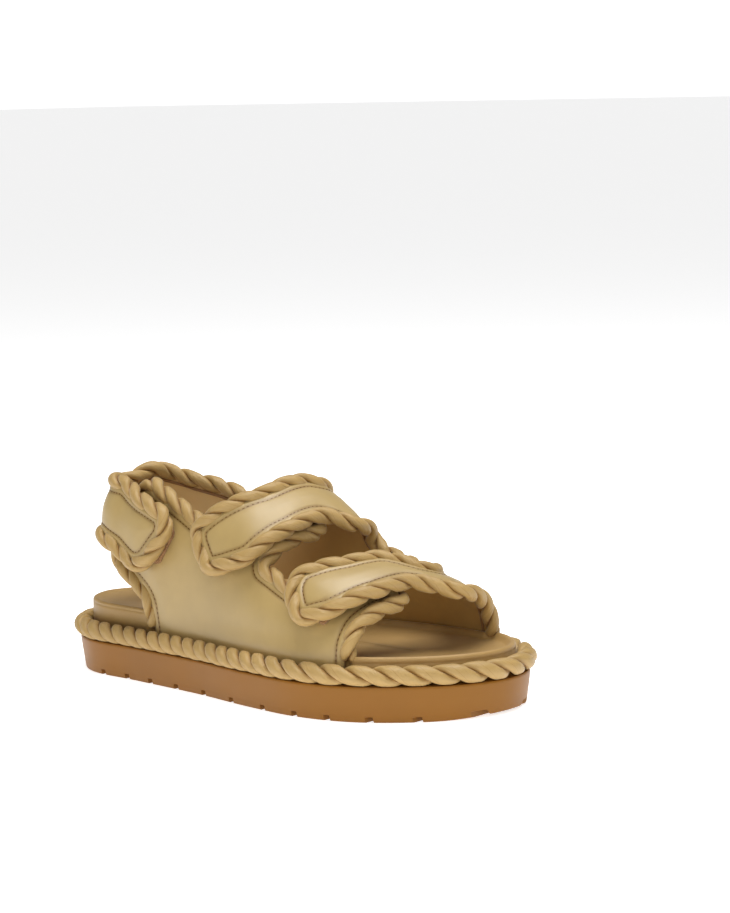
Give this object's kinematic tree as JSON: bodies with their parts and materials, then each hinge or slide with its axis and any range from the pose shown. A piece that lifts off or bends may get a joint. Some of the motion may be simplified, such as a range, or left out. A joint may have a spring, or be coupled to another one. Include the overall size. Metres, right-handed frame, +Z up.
{
  "type": "rope sandal",
  "caption": "Right-foot open sandal: grooved rubber sole, wrapped footbed, padded leather straps edged in twisted leather rope, with hook-and-loop tabs on the outer side.",
  "frame": {"origin": "on the floor under the sole, halfway along the rubber's floor edge and on the heel's centre line", "axes": "+X towards the toe, +Y towards the medial (inner) side of a right foot, +Z up"},
  "size_m": [0.2712, 0.1168, 0.1049],
  "materials": {
    "gum_rubber": "caramel gum rubber, semi-matt",
    "footbed_leather": "smooth khaki leather over foam",
    "rope_leather": "soft rolled khaki leather, twisted in three strands",
    "leather": "smooth padded khaki leather, light sheen",
    "hook_and_loop": "brown hook-and-loop pile"
  },
  "bodies": {
    "root": {"outsole": "gum_rubber", "footbed": "footbed_leather", "sole_rope": "rope_leather", "lateral_quarter": "leather", "medial_upper": "leather", "lateral_rope": "rope_leather", "heel_and_instep_rope": "rope_leather", "toe_strap_rope": "rope_leather", "heel_loop_patch": "hook_and_loop", "instep_loop_patch": "hook_and_loop", "toe_loop_patch": "hook_and_loop", "heel_hook_patch": "hook_and_loop", "instep_hook_patch": "hook_and_loop", "toe_hook_patch": "hook_and_loop"}
  },
  "joints": []
}
